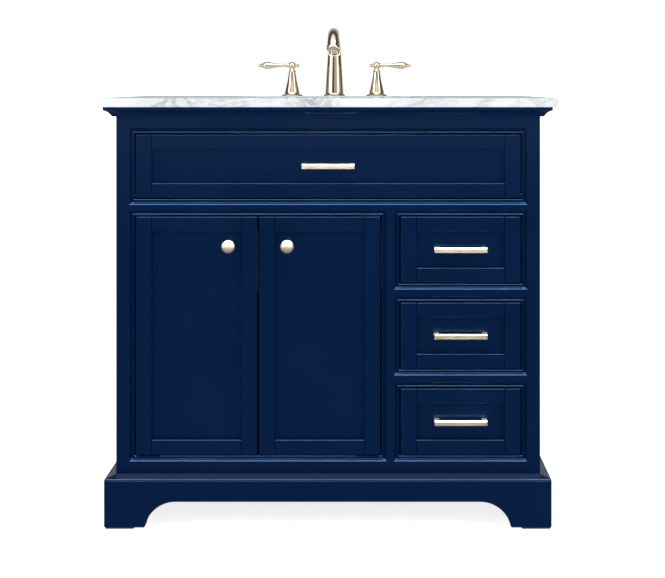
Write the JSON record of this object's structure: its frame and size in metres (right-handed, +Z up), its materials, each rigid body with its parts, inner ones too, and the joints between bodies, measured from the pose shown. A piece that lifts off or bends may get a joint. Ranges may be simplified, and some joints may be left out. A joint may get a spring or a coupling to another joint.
{
  "type": "bathroom vanity cabinet",
  "caption": "Navy furniture-style vanity base with inset doors, drawers and a tip-out front, stone top, undermount basin and widespread lever faucet.",
  "frame": {"origin": "on the floor at the middle of the object's width and depth", "axes": "+Z up, the doors and drawers face -Y, +X to the right as seen from the front"},
  "size_m": [0.9144, 0.546, 1.018],
  "materials": {
    "navy_paint": "satin navy lacquer on hardwood and fibreboard",
    "case_board": "clear-lacquered birch plywood",
    "stone": "polished white marble with soft grey veins",
    "glazed": "glossy white glaze",
    "gold_metal": "polished champagne gold plating",
    "steel": "zinc-plated and brushed steel",
    "pad": "matt dark rubber",
    "tray_plastic": "white moulded plastic"
  },
  "bodies": {
    "cabinet": {"side_left": "navy_paint", "side_right": "navy_paint", "partition": "case_board", "bottom_panel": "case_board", "back_panel": "case_board", "back_rail": "case_board", "stile_left": "navy_paint", "stile_right": "navy_paint", "stile_centre": "navy_paint", "rail_top": "navy_paint", "rail_middle": "navy_paint", "rail_bottom": "navy_paint", "drawer_rails": "navy_paint", "tip_out_bead": "navy_paint", "door_bead": "navy_paint", "drawer_beads": "navy_paint", "crown": "navy_paint", "base_front": "navy_paint", "base_sides": "navy_paint", "base_cap": "navy_paint", "foot_pads": "pad", "corner_blocks": "case_board", "runners": "steel", "hinge_plates": "steel", "countertop": "stone", "basin": "glazed", "drain": "gold_metal", "drain_nut": "steel", "tailpiece": "steel", "spout": "gold_metal", "aerator": "steel", "spout_nut": "steel", "handle_bells": "gold_metal", "valves": "steel"},
    "stopper": {"stopper": "gold_metal"},
    "lever_left": {"lever_left": "gold_metal"},
    "lever_right": {"lever_right": "gold_metal"},
    "door_left": {"door_left_frame": "navy_paint", "door_left_panel": "navy_paint", "door_left_knob": "gold_metal", "door_left_hinges": "steel"},
    "door_right": {"door_right_frame": "navy_paint", "door_right_panel": "navy_paint", "door_right_knob": "gold_metal", "door_right_hinges": "steel"},
    "drawer_top": {"drawer_top_front": "navy_paint", "drawer_top_box": "case_board", "drawer_top_pull": "gold_metal"},
    "drawer_middle": {"drawer_middle_front": "navy_paint", "drawer_middle_box": "case_board", "drawer_middle_pull": "gold_metal"},
    "drawer_bottom": {"drawer_bottom_front": "navy_paint", "drawer_bottom_box": "case_board", "drawer_bottom_pull": "gold_metal"},
    "tip_out": {"tip_out_frame": "navy_paint", "tip_out_panel": "navy_paint", "tip_out_pull": "gold_metal", "tip_out_tray": "tray_plastic", "tip_out_hinges": "steel"}
  },
  "joints": [
    {"name": "door_left_swing", "type": "hinge", "parent": "cabinet", "child": "door_left", "pos_m": [-0.3805, -0.235, 0.38], "axis": [0, 0, -1], "range_deg": [0, 95]},
    {"name": "door_right_swing", "type": "hinge", "parent": "cabinet", "child": "door_right", "pos_m": [0.0985, -0.235, 0.38], "axis": [0, 0, 1], "range_deg": [0, 95]},
    {"name": "drawer_top_slide", "type": "slide", "parent": "cabinet", "child": "drawer_top", "axis": [0, -1, 0], "range_m": [0, 0.33]},
    {"name": "drawer_middle_slide", "type": "slide", "parent": "cabinet", "child": "drawer_middle", "axis": [0, -1, 0], "range_m": [0, 0.33]},
    {"name": "drawer_bottom_slide", "type": "slide", "parent": "cabinet", "child": "drawer_bottom", "axis": [0, -1, 0], "range_m": [0, 0.33]},
    {"name": "tip_out_tilt", "type": "hinge", "parent": "cabinet", "child": "tip_out", "pos_m": [0, -0.235, 0.663], "axis": [1, 0, 0], "range_deg": [0, 40]},
    {"name": "lever_left_turn", "type": "hinge", "parent": "cabinet", "child": "lever_left", "pos_m": [-0.1016, 0.202, 0.93], "axis": [0, 0, 1], "range_deg": [0, 90]},
    {"name": "lever_right_turn", "type": "hinge", "parent": "cabinet", "child": "lever_right", "pos_m": [0.1016, 0.202, 0.93], "axis": [0, 0, -1], "range_deg": [0, 90]},
    {"name": "stopper_lift", "type": "slide", "parent": "cabinet", "child": "stopper", "axis": [0, 0, 1], "range_m": [0, 0.008]}
  ]
}
